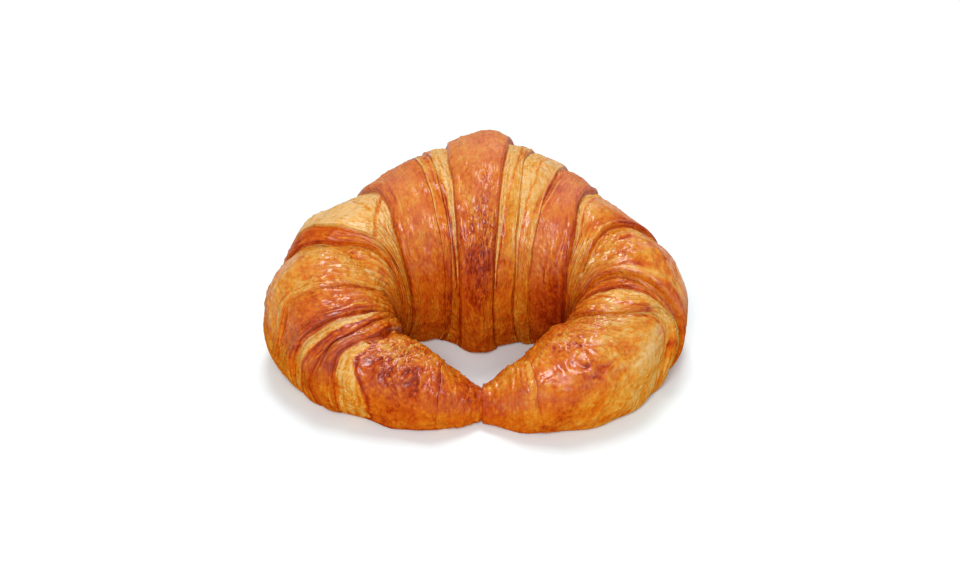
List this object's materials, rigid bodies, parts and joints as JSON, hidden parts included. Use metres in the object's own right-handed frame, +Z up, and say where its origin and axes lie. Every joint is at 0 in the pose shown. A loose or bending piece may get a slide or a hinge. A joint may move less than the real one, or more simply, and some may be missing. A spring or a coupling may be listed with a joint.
{
  "type": "croissant",
  "caption": "Baked croissant of rolled, layered dough, curved round until its two tips meet in front of the tall belly and close a small hole.",
  "frame": {"origin": "middle of the croissant's width and depth, on the surface it rests on", "axes": "+X towards the right arm as seen from the tips, +Y from the joined tips to the back of the belly, +Z up"},
  "size_m": [0.134, 0.1018, 0.0601],
  "materials": {
    "crust": "baked crust with a thin egg-wash glaze: satin to semi-gloss golden brown on the wraps, paler and matt in the grooves between them and on the pale layered edges"
  },
  "bodies": {
    "root": {"croissant": "crust"}
  },
  "joints": []
}
